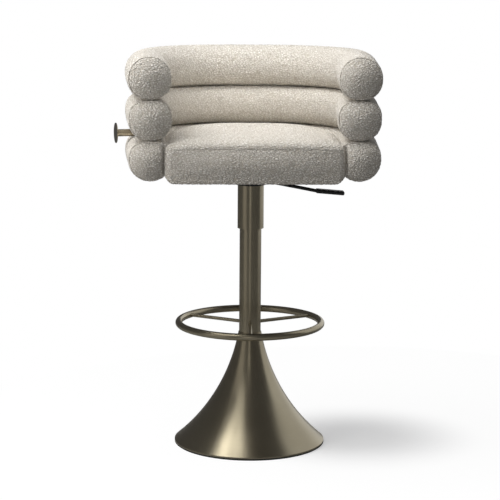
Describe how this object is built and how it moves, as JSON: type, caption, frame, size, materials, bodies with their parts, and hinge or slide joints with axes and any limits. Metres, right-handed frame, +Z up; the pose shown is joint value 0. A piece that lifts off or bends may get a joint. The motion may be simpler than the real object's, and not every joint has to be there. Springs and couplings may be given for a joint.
{
  "type": "bar stool with footrest",
  "caption": "Swivelling height-adjustable bar stool: a tub seat of stacked boucle bolsters on a brass column with a trumpet base and a round footrest.",
  "frame": {"origin": "on the floor, at the centre of the round base, on the column's axis", "axes": "+Z up; the sitter faces -Y; +X is the sitter's left, where the lever is"},
  "size_m": [0.5957, 0.46, 0.913],
  "materials": {
    "brushed_brass": "brushed, warm antique",
    "polished_brass": "polished",
    "boucle": "looped boucle over foam",
    "dust_cloth": "plain non-woven cloth",
    "plywood": "raw",
    "black_steel": "powder coat",
    "mild_steel": "raw",
    "zinc_steel": "zinc plated",
    "bearing_steel": "ground",
    "cast_ballast": "black enamel",
    "black_plastic": "moulded",
    "rubber": "matt"
  },
  "bodies": {
    "base": {"floor_pad": "rubber", "ballast_disc": "cast_ballast", "base_skirt": "brushed_brass", "column_tube": "brushed_brass", "column_flange": "mild_steel", "flange_bolts": "zinc_steel", "bearing_plate": "mild_steel", "thrust_bearing": "bearing_steel", "guide_bush": "black_plastic", "footrest_ring": "brushed_brass", "footrest_spokes": "brushed_brass"},
    "spring_rod": {"piston_rod": "bearing_steel", "rod_clip": "zinc_steel", "rod_washer": "zinc_steel", "bump_stop": "rubber", "piston": "black_plastic"},
    "seat": {"gas_cylinder": "black_steel", "cylinder_seal": "black_plastic", "column_sleeve": "brushed_brass", "sleeve_guide": "black_plastic", "seat_plate": "black_steel", "lever_pin": "zinc_steel", "plate_bolts": "zinc_steel", "tee_nuts": "zinc_steel", "seat_board": "plywood", "dust_cover": "dust_cloth", "seat_cushion": "boucle", "core_tube_bottom": "black_steel", "core_tube_middle": "black_steel", "core_tube_top": "black_steel", "back_uprights": "black_steel", "seat_brackets": "black_steel", "bracket_screws": "zinc_steel", "core_plugs": "mild_steel", "end_boards": "plywood", "end_screws": "zinc_steel", "side_peg": "polished_brass", "peg_socket": "mild_steel", "bolster_bottom": "boucle", "bolster_middle": "boucle", "bolster_top": "boucle"},
    "lever": {"lever_rod": "black_steel", "lever_grip": "black_plastic"},
    "release_valve": {"release_pin": "bearing_steel"}
  },
  "joints": [
    {"name": "seat_swivel", "type": "hinge", "parent": "base", "child": "spring_rod", "pos_m": [0, 0, 0.034], "axis": [0, 0, 1], "continuous": true},
    {"name": "seat_lift", "type": "slide", "parent": "spring_rod", "child": "seat", "axis": [0, 0, 1], "range_m": [-0.07, 0.015]},
    {"name": "lever_press", "type": "hinge", "parent": "seat", "child": "lever", "pos_m": [0.022, 0, 0.6152], "axis": [0, -1, 0], "range_deg": [0, 6], "stiffness_Nm_per_rad": 1},
    {"name": "release_travel", "type": "slide", "parent": "seat", "child": "release_valve", "axis": [0, 0, -1], "range_m": [0, 0.0025], "stiffness_N_per_m": 50}
  ],
  "couplings": [
    {"joint": "release_travel", "follows": "lever_press", "m_per_rad": 0.022}
  ]
}
